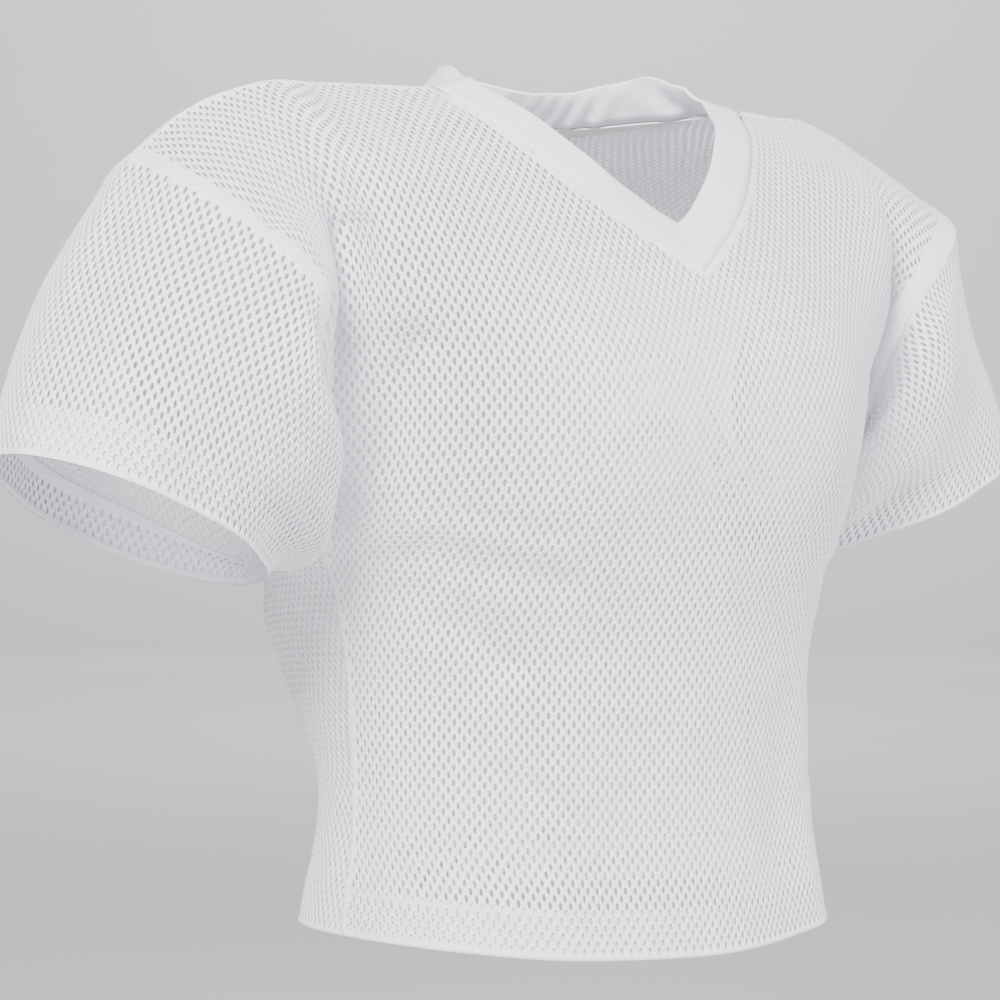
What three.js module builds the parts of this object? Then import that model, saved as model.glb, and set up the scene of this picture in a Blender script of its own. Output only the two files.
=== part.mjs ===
// Football practice jersey of porthole mesh, worn: a front and a back panel, two short wide sleeves,
// a mitred V-neck band and the tape that covers its seam inside the back neck.
// Millimetres, +Z up. The wearer faces -Y and +X is the wearer's left. The origin is the middle of
// the neck base, level with the points where the collar crosses the shoulder seams.

import * as THREE from "three";

// Rows of a table as objects with its columns' names, and the row's own name
function table(columns, rows) {
  return Object.entries(rows).map(([name, values]) => ({
    name,
    ...Object.fromEntries(columns.map((column, i) => [column, values[i]])),
  }));
}

// Cloth
const CLOTH = 1.6; // wall of one layer of mesh
const HEM_WALL = 2.6; // wall where the hem is turned up
const COLLAR_WALL = 2.4; // wall of the folded neck band
const COLLAR_WIDTH = 30; // seam to free edge
const TAPE_WALL = 1.0;
const TAPE_WIDTH = 10;
const TAPE_DROP = 1.5; // from the neck seam to the tape's upper edge
const TAPE_REACH = 0.9; // share of the back neckline that it covers
const TAPE_CLEAR = 0.8; // from the back panel's inside
const SEAM_GAP = 0.4; // between neighbouring pieces

// Stations across a panel, from its centre line (0) to its side or armhole edge (1)
const STATIONS = { centre: 0, breast: 0.25, corner: 0.5, valley: 0.7, lip: 0.85, edge: 1 };
const SPLITS = { breast: 6, corner: 4, valley: 3, lip: 3, edge: 2 }; // steps that end at each station
const ROW_STEPS = 2; // steps between two rows of the tables
const FOLD_FREE_COLUMNS = 3; // columns from a seamed edge over which a fold fades in
const SPACING_SAMPLES = [-0.7, -0.5, -0.25, 0.25, 0.5, 0.7]; // where the spacing of rows is measured
const NECK_EDGE = STATIONS.breast; // where the neckline meets the shoulder seam
const NEAR = 1e-6; // two places closer than this are one

// Rings below the arms, from the hem up: heights at the front, side and back, half width, depth of
// the front and back from the origin, and how square each half is (2 is an ellipse). The band is the
// stitch line of the turned-up hem
const RING_COLUMNS = ["frontZ", "sideZ", "backZ", "side", "front", "back", "frontPower", "backPower"];
const RINGS = table(RING_COLUMNS, {
  hem: [-536, -524, -531, 183, 153, 142, 2.1, 2.1],
  band: [-510, -498, -505, 179, 150, 138, 2.1, 2.1],
  flank: [-484, -474, -480, 175, 147, 134, 2.1, 2.1],
  waist: [-441, -436, -440, 173, 145, 133, 2.1, 2.1],
  ribs: [-392, -390, -392, 175, 146, 163, 2.0, 2.3],
  "lower chest": [-342, -342, -342, 181, 149, 183, 1.95, 2.5],
  underarm: [-294, -288, -294, 198, 158, 187, 2.05, 2.5],
});
const RING_ANGLES = { centre: 0, breast: 33, corner: 57, valley: 70, lip: 80, edge: 90 }; // degrees

// Rows of the front above the arms: height at the centre line, then places [x, y] at the stations.
// The left armhole sits a little further in and back than the right one
const YOKE_COLUMNS = ["rise", "centre", "breast", "corner", "valley", "lip", "edge", "left"];
const FRONT_YOKE = table(YOKE_COLUMNS, {
  pit: [-253, -162, [105, -147], [187, -82], [215, -44], [233, -44], [247, -51, -254], [-20, 12]],
  chest: [-212, -165, [106, -154], [194, -87], [222, -52], [245, -65], [261, -75, -212], [-34, 20]],
  bust: [-166, -158, [106, -151], [200, -92], [226, -57], [258, -82], [277, -92, -165], [-37, 22]],
  notch: [-128, -139, [106, -135], [211, -94], [226, -58], [255, -88], [275, -98, -131], [-26, 16]],
  collarbone: [-92, -119, [108, -113], [216, -90], [228, -56], [268, -76], [298, -83, -103], [-14, 8]],
  slope: [-50, -94, [114, -84], [218, -72], [238, -46], [286, -48], [326, -54, -75], [-4, 0]],
  ridge: [-18, -64, [124, -58], [212, -34], [240, -20], [290, -18], [336, -24, -60], [-2, 0]],
});
const BACK_YOKE = table(YOKE_COLUMNS, {
  pit: [-250, 196, [112, 189], [182, 152], [212, 112], [228, 85], [240, 50, -262], [-4, 0]],
  blade: [-205, 194, [112, 187], [190, 153], [222, 124], [240, 104], [252, 85, -224], [-8, 0]],
  "upper blade": [-158, 186, [112, 180], [198, 149], [232, 130], [252, 118], [268, 104, -182], [-8, 0]],
  spine: [-112, 170, [112, 165], [204, 139], [238, 124], [262, 116], [282, 108, -140], [-6, 0]],
  nape: [-68, 146, [116, 141], [208, 119], [244, 108], [274, 100], [300, 92, -104], [-4, 0]],
  slope: [-28, 112, [122, 104], [210, 84], [246, 74], [288, 66], [322, 60, -78], [-2, 0]],
  ridge: [-4, 62, [128, 44], [206, 46], [243, 44], [288, 38], [334, 32, -62], [0, 0]],
});
// The shoulder seam, where the two panels meet, and the straight line across the neck between them
const [SHOULDER] = table(YOKE_COLUMNS, {
  shoulder: [5, -30, [130, -28], [198, 3], [240, 9], [288, 10], [338, 5, -52], [0, 0]],
});
// How far each station has dropped from a row's centre towards its edge
const FALL = { centre: 0, breast: 0.1, corner: 0.08, valley: 0.12, lip: 0.42, edge: 1 };
const LEFT_PULL = { lip: 0.7, edge: 1 }; // share of a row's left offset that these stations take

// Neckline
const NECK_V_Z = -114; // height of the point of the V, at the seam
const NECK_TOP_Z = -2; // height where the front neckline reaches the shoulder seam
const NECK_STRAIGHT = 0.74; // 1 would be a straight V from the front
const NECK_BACK_Y = 78; // depth of the back neckline
const NECK_BACK_POWER = 3; // 2 would be a round neckline
const NECK_LOWEST = 0.5; // place up a panel below which no neckline goes
const HALVINGS = 24; // of the span searched for the neckline

// Collar: how steeply the band rises from its seam, in degrees, from the point of the V (0) up to the
// left shoulder (1), round the back (2) and over the right shoulder (3) to the point again (4)
const COLLAR_RISE = table(["quarter", "rise"], {
  point: [0, 50],
  "front left": [0.5, 47],
  "below the left shoulder": [0.83, 41],
  "left shoulder": [1, 12],
  "behind the left shoulder": [1.17, 52],
  "left nape": [1.33, 58],
  "left back": [1.67, 46],
  "beside the middle": [1.83, 41],
  "centre back": [2, 45],
  "right back": [2.2, 58],
  "right nape": [2.6, 57],
  "behind the right shoulder": [2.83, 47],
  "right shoulder": [3, 18],
  "below the right shoulder": [3.17, 44],
  "front right": [3.5, 48],
  "point again": [4, 50],
});
const COLLAR_STEPS = 3; // steps across the band
const MITRE_CHORD = 3; // columns from the point of the V that give the bands' direction there
const MITRE_FADE = 0.6; // share of a front band over which its slide at the mitre fades out

// Sleeves: rings between the armhole and the hem. The long half axis runs from the underside to the
// outer top, and the half depth runs fore and aft
const SLEEVE_RINGS = table(["at", "centre", "axis", "depth"], {
  middle: [0.5, [296, 14, -212], [82, -6, 87], 103],
  band: [0.88, [321, 19, -249], [91, -19, 51], 97],
  hem: [1, [327, 20, -266], [92.6, -22, 41.7], 95],
});
const LEFT_SLEEVE = { inward: 16, back: 6 }; // how far the left sleeve hangs nearer the body at its hem
const SLEEVE_STEPS = [0, 0.12, 0.25, 0.38, 0.5, 0.62, 0.75, 0.88, 1];

// Soft folds of the panels, troughs (negative depth) and ridges (positive), between two places [x, z]
const FOLD_COLUMNS = ["from", "to", "width", "depth"];
const FRONT_FOLDS = table(FOLD_COLUMNS, {
  "chest crease, right": [[-200, -165], [-213, -268], 14, -6],
  "chest crease, left": [[196, -180], [205, -262], 15, -4],
  "armpit, right, high": [[-176, -288], [-112, -306], 13, -4.5],
  "armpit, right, low": [[-172, -312], [-132, -352], 14, -4],
  "armpit, left, high": [[172, -292], [118, -314], 14, -4],
  "armpit, left, low": [[170, -318], [140, -366], 15, -3.5],
  "flank, right": [[-152, -372], [-128, -470], 20, -3.5],
  "flank, left": [[146, -380], [158, -486], 20, -3],
  "belly, right": [[-60, -410], [-84, -505], 22, -2.5],
  "belly, left": [[72, -396], [60, -490], 24, -2.5],
  "hem wave, right": [[-104, -500], [-100, -540], 22, 3],
  "hem wave, left": [[104, -496], [112, -540], 22, 3],
});
const BACK_FOLDS = table(FOLD_COLUMNS, {
  "blade crease, right": [[-168, -190], [-150, -300], 20, -6],
  "blade crease, left": [[164, -182], [152, -290], 20, -6],
  "armpit, right": [[-176, -296], [-118, -346], 15, -5],
  "armpit, left": [[174, -300], [120, -340], 15, -4.5],
  "small of the back, right": [[-96, -330], [-72, -452], 24, -6],
  "small of the back, left": [[88, -322], [78, -444], 24, -5.5],
  middle: [[-6, -352], [8, -470], 26, -4],
  "flank, right": [[-150, -366], [-134, -480], 20, -4],
  "flank, left": [[148, -372], [138, -470], 20, -3.5],
  "hem wave, right": [[-62, -492], [-58, -536], 24, 3.5],
  "hem wave, left": [[56, -488], [64, -536], 24, 3.5],
});
// Folds of a sleeve, between two places [degrees round it from the underside by the front, percent of
// the way from armhole to hem], and how full it hangs in front below the armhole
const SLEEVE_FOLDS = table(FOLD_COLUMNS, {
  "front fullness": [[58, 16], [92, 22], 23, 15],
  "front drape": [[62, 40], [58, 95], 13, -4],
  "upper front drape": [[112, 30], [104, 100], 12, -3],
  "top drape": [[168, 25], [160, 90], 12, -3],
  "back drape": [[236, 20], [244, 95], 14, -4.5],
  "lower back drape": [[300, 10], [304, 80], 13, -4],
});

// A smooth curve through points at rising places; each point is an array of numbers
function curveThrough(places, points) {
  const last = places.length - 1;
  const slope = (i, j) => points[i].map((value, k) => (points[j][k] - value) / (places[j] - places[i]));
  const tangents = points.map((_, i) => {
    if (i === 0) return slope(0, 1);
    if (i === last) return slope(last - 1, last);
    const before = places[i] - places[i - 1];
    const after = places[i + 1] - places[i];
    const behind = slope(i - 1, i);
    return slope(i, i + 1).map((ahead, k) => (behind[k] * after + ahead * before) / (before + after));
  });
  return (place) => {
    let i = 0;
    while (i < last - 1 && place > places[i + 1]) i++;
    const step = places[i + 1] - places[i];
    const t = (place - places[i]) / step;
    const [a, b] = [(1 + 2 * t) * (1 - t) ** 2, t * t * (3 - 2 * t)];
    const [c, d] = [t * (1 - t) ** 2 * step, t * t * (t - 1) * step];
    return points[i].map(
      (value, k) => a * value + b * points[i + 1][k] + c * tangents[i][k] + d * tangents[i + 1][k],
    );
  };
}

const NAMES = Object.keys(STATIONS);

// Which way a grid's own normals point: 1 out of the garment, -1 into it
const FRONT_FACING = 1;
const BACK_FACING = -1;
const SLEEVE_FACING = { right: 1, left: -1 };
const COLLAR_FACING = 1;

// The places [x, y, z] of one quarter of a ring at the stations
function ringStations(ring, front) {
  const depth = front ? -ring.front : ring.back;
  const power = 2 / (front ? ring.frontPower : ring.backPower);
  const middleZ = front ? ring.frontZ : ring.backZ;
  return NAMES.map((name) => {
    const angle = THREE.MathUtils.degToRad(RING_ANGLES[name]);
    const [across, along] = [Math.sin(angle) ** power, Math.max(Math.cos(angle), 0) ** power];
    return [ring.side * across, depth * along, middleZ + (ring.sideZ - middleZ) * Math.sin(angle) ** 2];
  });
}

// The places of one half of a yoke row; hand is -1 for the wearer's right and 1 for the left
function yokeStations(row, hand) {
  const pull = hand > 0 ? row.left : [0, 0];
  return NAMES.map((name) => {
    const [x, y] = name === "centre" ? [0, row.centre] : row[name];
    const moved = LEFT_PULL[name] ?? 0;
    return [x + moved * pull[0], y + moved * pull[1], row.rise + (row.edge[2] - row.rise) * FALL[name]];
  });
}

// One row right across a panel, as a curve over -1 (right edge) to 1 (left edge)
function fullRow(right, left) {
  const half = Object.values(STATIONS);
  const places = [...half.map((place) => -place).reverse(), ...half.slice(1)];
  const points = [...right.map(([x, y, z]) => [-x, y, z]).reverse(), ...left.slice(1)];
  return curveThrough(places, points);
}

function panelRows(front) {
  const rings = RINGS.map((ring) => fullRow(ringStations(ring, front), ringStations(ring, front)));
  const yoke = [...(front ? FRONT_YOKE : BACK_YOKE), SHOULDER];
  return [...rings, ...yoke.map((row) => fullRow(yokeStations(row, -1), yokeStations(row, 1)))];
}

// Places of the table rows from the hem (0) to the shoulder (1), spaced as the rows are on average
function rowPlaces(...panels) {
  const places = [0];
  for (let i = 1; i < panels[0].length; i++) {
    let sum = 0;
    for (const rows of panels) {
      for (const u of SPACING_SAMPLES) {
        const [here, below] = [rows[i](u), rows[i - 1](u)];
        sum += Math.hypot(...here.map((value, k) => value - below[k]));
      }
    }
    places.push(places[i - 1] + sum);
  }
  return places.map((place) => place / places[places.length - 1]);
}

const frontRows = panelRows(true);
const backRows = panelRows(false);
const ROW_PLACES = rowPlaces(frontRows, backRows);
const BAND_ROW = RINGS.findIndex((ring) => ring.name === "band");
const ARMPIT_ROW = RINGS.length - 1;

// A panel's surface without its folds
function surfaceOf(rows) {
  return (u, v) => curveThrough(ROW_PLACES, rows.map((row) => row(u)))(v);
}

// Where a neckline cuts a column of a panel: the height at which the surface passes into the neck
function cutAt(surface, u, isInNeck) {
  let [low, high] = [NECK_LOWEST, 1];
  for (let i = 0; i < HALVINGS; i++) {
    const middle = (low + high) / 2;
    if (isInNeck(surface(u, middle))) high = middle;
    else low = middle;
  }
  return (low + high) / 2;
}

const neckShare = (x) => Math.abs(x) / SHOULDER.breast[0];

function frontTop(surface, u) {
  if (Math.abs(u) >= NECK_EDGE) return 1;
  const edgeZ = (x) => {
    const share = neckShare(x);
    const curved = THREE.MathUtils.lerp(share ** 3, share, NECK_STRAIGHT);
    return THREE.MathUtils.lerp(NECK_V_Z, NECK_TOP_Z, curved);
  };
  return cutAt(surface, u, ([x, , z]) => z > edgeZ(x));
}

function backTop(surface, u) {
  if (Math.abs(u) >= NECK_EDGE) return 1;
  const seamY = SHOULDER.breast[1];
  const edgeY = (x) => NECK_BACK_Y + (seamY - NECK_BACK_Y) * neckShare(x) ** NECK_BACK_POWER;
  return cutAt(surface, u, ([x, y]) => y < edgeY(x));
}

// Sample places across and up a panel
function acrossPlaces() {
  const half = [0];
  NAMES.slice(1).forEach((name, i) => {
    const from = STATIONS[NAMES[i]];
    const step = (STATIONS[name] - from) / SPLITS[name];
    for (let k = 1; k <= SPLITS[name]; k++) half.push(from + step * k);
  });
  return [...half.slice(1).map((u) => -u).reverse(), ...half];
}

function upPlaces() {
  const places = [0];
  for (let i = 1; i < ROW_PLACES.length; i++) {
    for (let k = 1; k <= ROW_STEPS; k++) {
      places.push(ROW_PLACES[i - 1] + ((ROW_PLACES[i] - ROW_PLACES[i - 1]) * k) / ROW_STEPS);
    }
  }
  return places;
}

const ACROSS = acrossPlaces();
const UP = upPlaces();
const ARMPIT = ARMPIT_ROW * ROW_STEPS; // index of the armpit in UP

const vector = (point) => new THREE.Vector3(...point);

// A grid of a panel's outer points: grid[row][column]. Rows over the armpit are squeezed under the
// neckline
function panelGrid(surface, topOf) {
  const tops = ACROSS.map((u) => topOf(surface, u));
  const squeezeFrom = UP[ARMPIT];
  return UP.map((v) =>
    ACROSS.map((u, column) => {
      const squeeze = (tops[column] - squeezeFrom) / (1 - squeezeFrom);
      return vector(surface(u, v > squeezeFrom ? squeezeFrom + (v - squeezeFrom) * squeeze : v));
    }),
  );
}

// How far the folds push the cloth out at one place
function foldPush(folds, across, along) {
  return folds.reduce((sum, { from, to, width, depth }) => {
    const [runX, runY] = [to[0] - from[0], to[1] - from[1]];
    const share = ((across - from[0]) * runX + (along - from[1]) * runY) / (runX ** 2 + runY ** 2);
    const near = THREE.MathUtils.clamp(share, 0, 1);
    const off = Math.hypot(across - from[0] - near * runX, along - from[1] - near * runY);
    return sum + depth * Math.exp(-((off / width) ** 2));
  }, 0);
}

// Presses the folds into a panel, but not into the edges that it shares with other pieces
function foldPanel(grid, folds, facing) {
  const normals = gridNormals(grid, facing, false);
  const last = ACROSS.length - 1;
  grid.slice(0, -1).forEach((line, r) => {
    line.forEach((point, c) => {
      const free = Math.min(1, Math.min(c, last - c) / FOLD_FREE_COLUMNS);
      point.addScaledVector(normals[r][c], free * foldPush(folds, point.x, point.z));
    });
  });
}

// Outward normals of a grid; closed grids wrap round their columns. facing is 1 or -1
function gridNormals(grid, facing, closed) {
  const rows = grid.length;
  const columns = grid[0].length;
  const columnAt = (c) => (closed ? (c + columns) % columns : THREE.MathUtils.clamp(c, 0, columns - 1));
  return grid.map((line, r) =>
    line.map((_, c) => {
      const along = line[columnAt(c + 1)].clone().sub(line[columnAt(c - 1)]);
      const up = grid[Math.min(r + 1, rows - 1)][c].clone().sub(grid[Math.max(r - 1, 0)][c]);
      return along.cross(up).normalize().multiplyScalar(facing);
    }),
  );
}

// Moves a grid's open edges in along the cloth by half a seam gap
function insetEdges(grid, closed) {
  const copy = grid.map((line) => line.map((point) => point.clone()));
  const pull = (r, c, nearR, nearC) => {
    const step = grid[nearR][nearC].clone().sub(grid[r][c]).setLength(SEAM_GAP / 2);
    copy[r][c].add(step);
  };
  const [lastR, lastC] = [grid.length - 1, grid[0].length - 1];
  for (let c = 0; c <= lastC; c++) {
    pull(0, c, 1, c);
    pull(lastR, c, lastR - 1, c);
  }
  for (let r = 0; r <= lastR && !closed; r++) {
    pull(r, 0, r, 1);
    pull(r, lastC, r, lastC - 1);
  }
  return copy;
}

// Below the arms the edges of the two panels are one line, so both go to the middle between them,
// and the next columns go half as far
function matchSideSeams() {
  const last = ACROSS.length - 1;
  for (let r = 0; r < ARMPIT; r++) {
    for (const [edge, next] of [[0, 1], [last, last - 1]]) {
      const middle = frontGrid[r][edge].clone().add(backGrid[r][edge]).multiplyScalar(0.5);
      for (const grid of [frontGrid, backGrid]) {
        const move = middle.clone().sub(grid[r][edge]);
        grid[r][edge].copy(middle);
        grid[r][next].addScaledVector(move, 0.5);
      }
    }
  }
}

// A closed wall between an outer grid and its inner points
function wallGeometry(outer, inner, facing, closed) {
  const rows = outer.length;
  const columns = outer[0].length;
  const count = rows * columns;
  const positions = [...outer.flat(), ...inner.flat()].flatMap((point) => point.toArray());
  const at = (r, c, layer) => layer * count + r * columns + (c % columns);
  const indices = [];
  const quad = (a, b, c, d) => {
    if (facing > 0) indices.push(a, b, c, a, c, d);
    else indices.push(a, c, b, a, d, c);
  };
  const spans = closed ? columns : columns - 1;
  for (let r = 0; r < rows - 1; r++) {
    for (let c = 0; c < spans; c++) {
      quad(at(r, c, 0), at(r, c + 1, 0), at(r + 1, c + 1, 0), at(r + 1, c, 0));
      quad(at(r, c, 1), at(r + 1, c, 1), at(r + 1, c + 1, 1), at(r, c + 1, 1));
    }
  }
  // A rim face between two outer points, split the same way on both sides of a seam: from the outer
  // point of its lower end to the inner point of its higher end
  const points = outer.flat();
  const rim = (a, b) => {
    if (points[a].z < points[b].z) quad(a, b, b + count, a + count);
    else quad(b, b + count, a + count, a);
  };
  for (let c = 0; c < spans; c++) {
    rim(at(0, c + 1, 0), at(0, c, 0));
    rim(at(rows - 1, c, 0), at(rows - 1, c + 1, 0));
  }
  for (let r = 0; r < rows - 1 && !closed; r++) {
    rim(at(r, 0, 0), at(r + 1, 0, 0));
    rim(at(r + 1, spans, 0), at(r, spans, 0));
  }
  const geometry = new THREE.BufferGeometry();
  geometry.setAttribute("position", new THREE.Float32BufferAttribute(positions, 3));
  geometry.setIndex(indices);
  geometry.computeVertexNormals();
  return geometry;
}

// A named piece of cloth: shape holds its grid, outward normals, facing and whether it is closed
function makeWall(name, { grid, normals, facing, closed }, thicknessOf, material) {
  const outer = insetEdges(grid, closed);
  const inner = outer.map((line, r) =>
    line.map((point, c) => point.clone().addScaledVector(normals[r][c], -thicknessOf(r))),
  );
  const mesh = new THREE.Mesh(wallGeometry(outer, inner, facing, closed), material);
  mesh.name = name;
  return mesh;
}

// Materials
const MESH_KNIT = new THREE.MeshStandardMaterial({ color: "#ebe8ee", roughness: 0.85, metalness: 0 });
const COLLAR_KNIT = new THREE.MeshStandardMaterial({ color: "#eeecf0", roughness: 0.8, metalness: 0 });

// Panels
const frontSurface = surfaceOf(frontRows);
const backSurface = surfaceOf(backRows);
const frontGrid = panelGrid(frontSurface, frontTop);
const backGrid = panelGrid(backSurface, backTop);
foldPanel(frontGrid, FRONT_FOLDS, FRONT_FACING);
foldPanel(backGrid, BACK_FOLDS, BACK_FACING);
matchSideSeams();
const frontNormals = gridNormals(frontGrid, FRONT_FACING, false);
const backNormals = gridNormals(backGrid, BACK_FACING, false);

// Sleeves. Columns go from the armpit up the front of the armhole and down its back
function armholeOf(hand) {
  const column = hand < 0 ? 0 : ACROSS.length - 1;
  const top = UP.length - 1;
  const up = [];
  for (let r = ARMPIT; r <= top; r++) up.push({ grid: frontGrid, normals: frontNormals, r, column });
  for (let r = top - 1; r > ARMPIT; r--) up.push({ grid: backGrid, normals: backNormals, r, column });
  return up;
}

function armholeAngles(points, topIndex) {
  const lengths = points.map((point, i) => point.distanceTo(points[(i + 1) % points.length]));
  const sum = (from, to) => lengths.slice(from, to).reduce((total, value) => total + value, 0);
  const [frontLength, backLength] = [sum(0, topIndex), sum(topIndex, points.length)];
  return points.map((_, i) =>
    i <= topIndex
      ? Math.PI + (Math.PI * sum(0, i)) / frontLength
      : 2 * Math.PI + (Math.PI * sum(topIndex, i)) / backLength,
  );
}

function ringPoint(ring, angle, hand) {
  const [cx, cy, cz] = ring.centre;
  const [ax, ay, az] = ring.axis;
  const [along, across] = [Math.cos(angle), Math.sin(angle)];
  const [inward, back] = hand > 0 ? [LEFT_SLEEVE.inward, LEFT_SLEEVE.back] : [0, 0];
  const side = cx - inward + ax * along;
  return [hand * side, cy + back + ay * along + ring.depth * across, cz + az * along];
}

function sleeveGrid(hand) {
  const armhole = armholeOf(hand).map(({ grid, r, column }) => grid[r][column]);
  const angles = armholeAngles(armhole, UP.length - 1 - ARMPIT);
  const places = [0, ...SLEEVE_RINGS.map((ring) => ring.at)];
  const columns = armhole.map((start, i) => {
    const rings = SLEEVE_RINGS.map((ring) => ringPoint(ring, angles[i], hand));
    return curveThrough(places, [start.toArray(), ...rings]);
  });
  const grid = SLEEVE_STEPS.map((place) => columns.map((column) => vector(column(place))));
  const facing = hand < 0 ? SLEEVE_FACING.right : SLEEVE_FACING.left;
  const normals = gridNormals(grid, facing, true);
  grid.slice(1).forEach((line, r) => {
    line.forEach((point, c) => {
      const round = THREE.MathUtils.radToDeg(angles[c]) - 180;
      point.addScaledVector(normals[r + 1][c], foldPush(SLEEVE_FOLDS, round, 100 * SLEEVE_STEPS[r + 1]));
    });
  });
  return grid;
}

const sleeveGrids = { right: sleeveGrid(-1), left: sleeveGrid(1) };
const sleeveNormals = {
  right: gridNormals(sleeveGrids.right, SLEEVE_FACING.right, true),
  left: gridNormals(sleeveGrids.left, SLEEVE_FACING.left, true),
};

// Where pieces meet, both take the mean of their normals, so that their walls stay apart
function shareNormals(...normals) {
  const mean = new THREE.Vector3();
  normals.forEach((normal) => mean.add(normal));
  mean.normalize();
  normals.forEach((normal) => normal.copy(mean));
}

function joinSeams() {
  const [lastRow, lastColumn] = [UP.length - 1, ACROSS.length - 1];
  for (const column of [0, lastColumn]) {
    for (let r = 0; r < ARMPIT; r++) shareNormals(frontNormals[r][column], backNormals[r][column]);
  }
  ACROSS.forEach((u, c) => {
    const inner = Math.abs(u) > NECK_EDGE - NEAR && c > 0 && c < lastColumn;
    if (inner) shareNormals(frontNormals[lastRow][c], backNormals[lastRow][c]);
  });
  for (const [side, hand] of [["right", -1], ["left", 1]]) {
    armholeOf(hand).forEach(({ normals, r, column }, i) => {
      const meets = [normals[r][column], sleeveNormals[side][0][i]];
      if (r === ARMPIT || r === lastRow) meets.push(backNormals[r][column]);
      shareNormals(...meets);
    });
  }
}

joinSeams();

// Collar. Its seam goes from the point of the V up the left side, round the back and down the right
function neckSeam() {
  const top = UP.length - 1;
  const inNeck = ACROSS.map((u, c) => ({ u, c })).filter(({ u }) => Math.abs(u) < NECK_EDGE + NEAR);
  const along = (list, grid, normals, placeOf) =>
    list.map(({ u, c }) => ({
      hand: u < 0 ? -1 : 1,
      at: placeOf(Math.abs(u) / NECK_EDGE),
      point: grid[top][c],
      normal: normals[top][c],
    }));
  const front = (list) => along(list, frontGrid, frontNormals, (share) => share);
  const back = (list) => along(list, backGrid, backNormals, (share) => 2 - share);
  const leftUp = inNeck.filter(({ u }) => u >= 0);
  const rightDown = inNeck.filter(({ u }) => u < 0);
  return [...front(leftUp), ...back([...inNeck].reverse().slice(1)), ...front(rightDown).slice(1)];
}

const collarRise = curveThrough(
  COLLAR_RISE.map((row) => row.quarter),
  COLLAR_RISE.map((row) => [row.rise]),
);

// How far the free edge leans from the seam at one place: square to the seam, in towards the neck
function collarReach(along, quarter) {
  const rise = THREE.MathUtils.degToRad(collarRise(quarter)[0]);
  const inward = new THREE.Vector3(-along.y, along.x, 0).normalize().multiplyScalar(Math.cos(rise));
  const reach = inward.add(new THREE.Vector3(0, 0, Math.sin(rise)));
  return reach.addScaledVector(along, -reach.dot(along)).setLength(COLLAR_WIDTH);
}

// The two bands meet in the plane between them at the point of the V, so each slides along itself
// there, and less and less up the front
function collarGrid(seam) {
  const count = seam.length;
  const pointAt = (i) => seam[(i + count) % count].point;
  const between = (i, j) => pointAt(j).clone().sub(pointAt(i)).normalize();
  const start = between(0, MITRE_CHORD);
  const slide = -collarReach(start, 0).x / start.x;
  const reach = seam.map(({ at, hand }, i) => {
    const along = i === 0 ? start : between(i - 1, i + 1);
    const quarter = hand > 0 ? at : 4 - at;
    const kept = Math.max(1 - at / MITRE_FADE, 0);
    return collarReach(along, quarter).addScaledVector(along, slide * hand * kept);
  });
  const grid = [];
  for (let k = 0; k <= COLLAR_STEPS; k++) {
    grid.push(seam.map(({ point }, i) => point.clone().addScaledVector(reach[i], k / COLLAR_STEPS)));
  }
  return grid;
}

const seam = neckSeam();
const collarPoints = collarGrid(seam);
const collarNormals = gridNormals(collarPoints, COLLAR_FACING, true);
seam.forEach(({ normal }, i) => shareNormals(normal, collarNormals[0][i]));

// Tape: a strip on the inside of the back panel, just below the neck seam
function downColumn(grid, normals, column, distance) {
  const top = UP.length - 1;
  let left = distance;
  for (let r = top; r > 0; r--) {
    const length = grid[r][column].distanceTo(grid[r - 1][column]);
    if (left <= length) {
      const share = left / length;
      return {
        point: grid[r][column].clone().lerp(grid[r - 1][column], share),
        normal: normals[r][column].clone().lerp(normals[r - 1][column], share).normalize(),
      };
    }
    left -= length;
  }
  throw new Error("the panel is shorter than the distance down it");
}

function tapeGrid() {
  const reach = NECK_EDGE * TAPE_REACH;
  const covered = ACROSS.map((u, c) => ({ u, c })).filter(({ u }) => Math.abs(u) < reach);
  const lines = [TAPE_WIDTH + TAPE_DROP, TAPE_DROP].map((depth) =>
    covered.map(({ c }) => downColumn(backGrid, backNormals, c, depth)),
  );
  const inside = ({ point, normal }) => point.clone().addScaledVector(normal, -CLOTH - TAPE_CLEAR);
  return {
    grid: lines.map((line) => line.map(inside)),
    normals: lines.map((line) => line.map(({ normal }) => normal)),
  };
}

const tape = tapeGrid();

// Walls, thicker from the hem to its stitch line
const SLEEVE_BAND = SLEEVE_RINGS.find((ring) => ring.name === "band").at;
const panelWall = (r) => (r <= BAND_ROW * ROW_STEPS ? HEM_WALL : CLOTH);
const sleeveWall = (r) => (SLEEVE_STEPS[r] >= SLEEVE_BAND ? HEM_WALL : CLOTH);
const tapeWall = () => TAPE_WALL;
const collarWall = () => COLLAR_WALL;

const front = { grid: frontGrid, normals: frontNormals, facing: FRONT_FACING, closed: false };
const back = { grid: backGrid, normals: backNormals, facing: BACK_FACING, closed: false };
const collar = { grid: collarPoints, normals: collarNormals, facing: COLLAR_FACING, closed: true };
const sleeveOf = (side) => ({
  grid: sleeveGrids[side],
  normals: sleeveNormals[side],
  facing: SLEEVE_FACING[side],
  closed: true,
});

const jersey = new THREE.Group();
jersey.name = "football_practice_jersey";
jersey.add(
  makeWall("front", front, panelWall, MESH_KNIT),
  makeWall("back", back, panelWall, MESH_KNIT),
  makeWall("sleeve_right", sleeveOf("right"), sleeveWall, MESH_KNIT),
  makeWall("sleeve_left", sleeveOf("left"), sleeveWall, MESH_KNIT),
  makeWall("neck_tape", { ...tape, facing: BACK_FACING, closed: false }, tapeWall, COLLAR_KNIT),
  makeWall("collar", collar, collarWall, COLLAR_KNIT),
);

export default jersey;
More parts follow.
